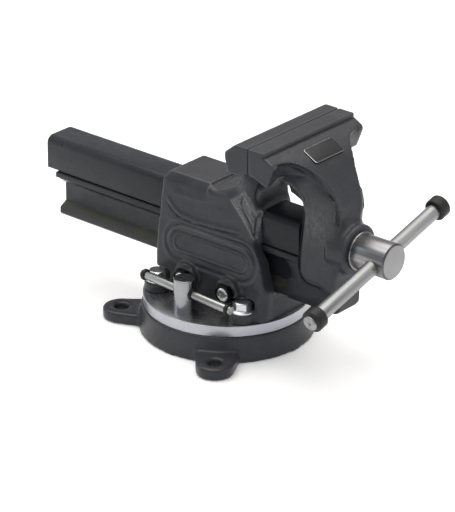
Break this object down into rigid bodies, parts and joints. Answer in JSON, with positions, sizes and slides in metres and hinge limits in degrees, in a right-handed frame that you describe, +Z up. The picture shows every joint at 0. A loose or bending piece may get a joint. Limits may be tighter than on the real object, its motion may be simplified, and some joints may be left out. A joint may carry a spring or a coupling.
{
  "type": "swivel bench vise",
  "caption": "Bench vise whose forged body turns on a round bolt-down base; a spindle with a sliding handle bar moves the front jaw on a hollow guide rail, and a lock screw clamps the swivel.",
  "frame": {"origin": "on the swivel axis, at the face that the base stands on", "axes": "+X along the spindle towards its handle, +Y across the jaws, +Z up along the swivel axis"},
  "size_m": [0.3903, 0.2125, 0.2122],
  "materials": {
    "body_paint": "satin, fine orange peel",
    "base_paint": "satin",
    "disc_steel": "turned, satin",
    "polished_steel": "polished",
    "bright_bolt": "zinc plated, bright",
    "black_steel": "black oxide, semi-gloss",
    "machined_iron": "machined",
    "rubber": "matte",
    "plate": "black anodised, satin"
  },
  "bodies": {
    "base": {"base_casting": "base_paint"},
    "turntable": {"swivel_disc": "disc_steel", "pivot_bolt": "black_steel", "pivot_washer": "bright_bolt", "pivot_nut": "black_steel", "clamp_block": "machined_iron", "vise_body": "body_paint", "body_bolts": "bright_bolt", "gib_strip_near": "machined_iron", "gib_strip_far": "machined_iron", "gib_set_screws": "bright_bolt", "gib_lock_nuts": "black_steel", "spindle_nut": "machined_iron", "spindle_nut_screws": "black_steel"},
    "lock_screw": {"lock_screw": "polished_steel", "lock_stud": "polished_steel", "lock_bar_friction_ring": "rubber"},
    "lock_bar": {"lock_bar": "polished_steel", "lock_bar_ring_left": "black_steel", "lock_bar_ring_right": "black_steel"},
    "front_jaw": {"moving_jaw": "body_paint", "slide_rail": "body_paint", "rail_screws": "black_steel", "nameplate": "plate"},
    "spindle": {"spindle": "polished_steel", "thrust_washer": "polished_steel", "retaining_collar": "black_steel", "collar_pin": "polished_steel"},
    "handle": {"handle_bar": "polished_steel", "handle_ring_near": "black_steel", "handle_ring_far": "black_steel"}
  },
  "joints": [
    {"name": "swivel", "type": "hinge", "parent": "base", "child": "turntable", "pos_m": [0, 0, 0.0245], "axis": [0, 0, 1], "continuous": true},
    {"name": "lock_turn", "type": "hinge", "parent": "turntable", "child": "lock_screw", "pos_m": [-0.002, -0.0564, 0.0529], "axis": [0, 0, 1], "range_deg": [-1.5, 6.5]},
    {"name": "lock_bar_slide", "type": "slide", "parent": "lock_screw", "child": "lock_bar", "axis": [0.998, -0.0628, 0], "range_m": [-0.039, 0.0365]},
    {"name": "jaw_slide", "type": "slide", "parent": "turntable", "child": "front_jaw", "axis": [1, 0, 0], "range_m": [0, 0.13]},
    {"name": "spindle_turn", "type": "hinge", "parent": "front_jaw", "child": "spindle", "pos_m": [0.16, 0, 0.1186], "axis": [1, 0, 0], "range_deg": [-1, 11701]},
    {"name": "handle_slide", "type": "slide", "parent": "spindle", "child": "handle", "axis": [0, 0.9659, 0.2588], "range_m": [-0.058, 0.071]}
  ],
  "couplings": [
    {"joint": "spindle_turn", "follows": "jaw_slide", "rad_per_m": 1570.8}
  ]
}
